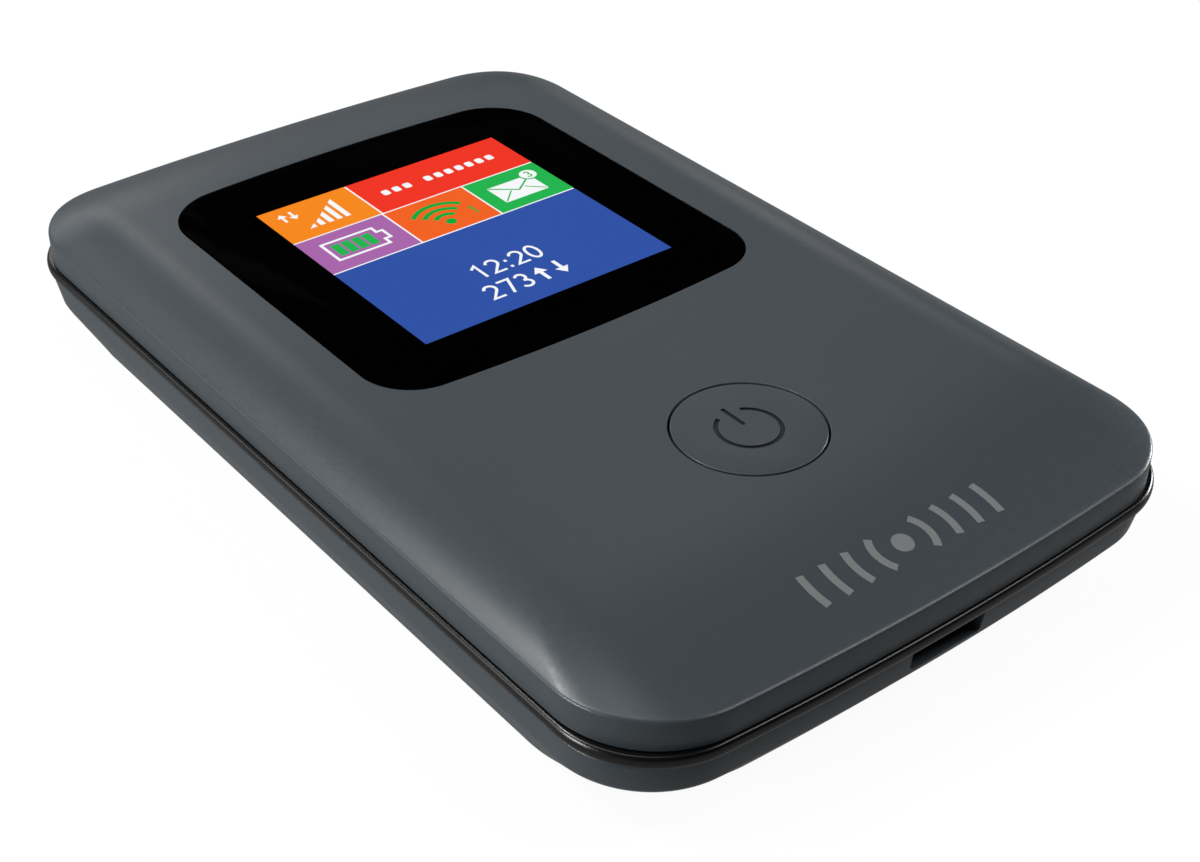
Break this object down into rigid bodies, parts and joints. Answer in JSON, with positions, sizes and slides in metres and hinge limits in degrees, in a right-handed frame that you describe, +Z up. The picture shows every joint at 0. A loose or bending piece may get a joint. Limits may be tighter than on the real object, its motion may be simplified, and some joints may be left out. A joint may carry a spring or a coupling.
{
  "type": "mobile hotspot",
  "caption": "Pocket mobile hotspot: domed slate front cover, colour display under a black window, round power key, glossy black waist band, USB socket, and lift-off rear cover over a battery.",
  "frame": {"origin": "middle of the underside, on the surface it lies on", "axes": "+X across the width to the right of someone reading the display, +Y along the length towards the display end, +Z up out of the display face"},
  "size_m": [0.056, 0.09, 0.012],
  "materials": {
    "slate_plastic": "fine satin moulded plastic, slate grey",
    "band_plastic": "polished black moulded plastic",
    "window_glass": "black-backed clear acrylic, polished",
    "foam": "black double-sided foam tape",
    "display_panel": "lit colour display under clear film",
    "white_plastic": "white moulded light guide frame",
    "amber_film": "amber polyimide film with copper tracks",
    "dark_plastic": "black moulded resin",
    "tinned_steel": "thin tin-plated steel sheet",
    "chip_resin": "black moulded chip resin",
    "gold_contact": "gold-plated spring metal",
    "board": "green solder mask over fibreglass",
    "battery_wrap": "dark film wrap round a flat cell",
    "card_plastic": "white plastic card with gold pads",
    "screw_steel": "black zinc-plated steel"
  },
  "bodies": {
    "back_shell": {"rear_cover": "slate_plastic"},
    "housing": {"front_cover": "slate_plastic", "waist_band": "band_plastic", "display_window": "window_glass", "window_adhesive": "foam", "lcd_panel": "display_panel", "lcd_backlight": "white_plastic", "lcd_flex": "amber_film", "mid_frame": "dark_plastic", "lcd_connector": "dark_plastic", "usb_tongue": "dark_plastic", "battery_contact_block": "dark_plastic", "main_antenna": "dark_plastic", "diversity_antenna": "dark_plastic", "modem_shield": "tinned_steel", "wifi_shield": "tinned_steel", "power_shield": "tinned_steel", "power_switch": "tinned_steel", "reset_switch": "tinned_steel", "usb_shell": "tinned_steel", "sim_socket": "tinned_steel", "modem_chip": "chip_resin", "wifi_chip": "chip_resin", "memory_chip": "chip_resin", "contact_blade_1": "gold_contact", "contact_blade_2": "gold_contact", "contact_blade_3": "gold_contact", "wifi_antenna": "gold_contact", "main_board": "board", "screw_back_left": "screw_steel", "screw_back_right": "screw_steel", "screw_front_left": "screw_steel", "screw_front_right": "screw_steel"},
    "power_key": {"power_button": "slate_plastic", "power_switch_plunger": "dark_plastic"},
    "reset_key": {"reset_plunger": "dark_plastic"},
    "battery_pack": {"battery_cell": "battery_wrap", "battery_cap": "dark_plastic"},
    "sim": {"sim_card": "card_plastic"}
  },
  "joints": [
    {"name": "power_key_press", "type": "slide", "parent": "housing", "child": "power_key", "axis": [0, 0, -1], "range_m": [0, 0.00025], "stiffness_N_per_m": 6000},
    {"name": "reset_key_press", "type": "slide", "parent": "housing", "child": "reset_key", "axis": [0, 0, 1], "range_m": [0, 0.0002], "stiffness_N_per_m": 6000},
    {"name": "lift_off_rear_cover", "type": "slide", "parent": "back_shell", "child": "housing", "axis": [0, 0, 1], "range_m": [0, 0.03]},
    {"name": "battery_lift", "type": "slide", "parent": "housing", "child": "battery_pack", "axis": [0, 0, -1], "range_m": [0, 0.015]},
    {"name": "sim_slide", "type": "slide", "parent": "housing", "child": "sim", "axis": [1, 0, 0], "range_m": [0, 0.013]}
  ],
  "couplings": [
    {"joint": "battery_lift", "follows": "lift_off_rear_cover", "ratio": 0.5}
  ]
}
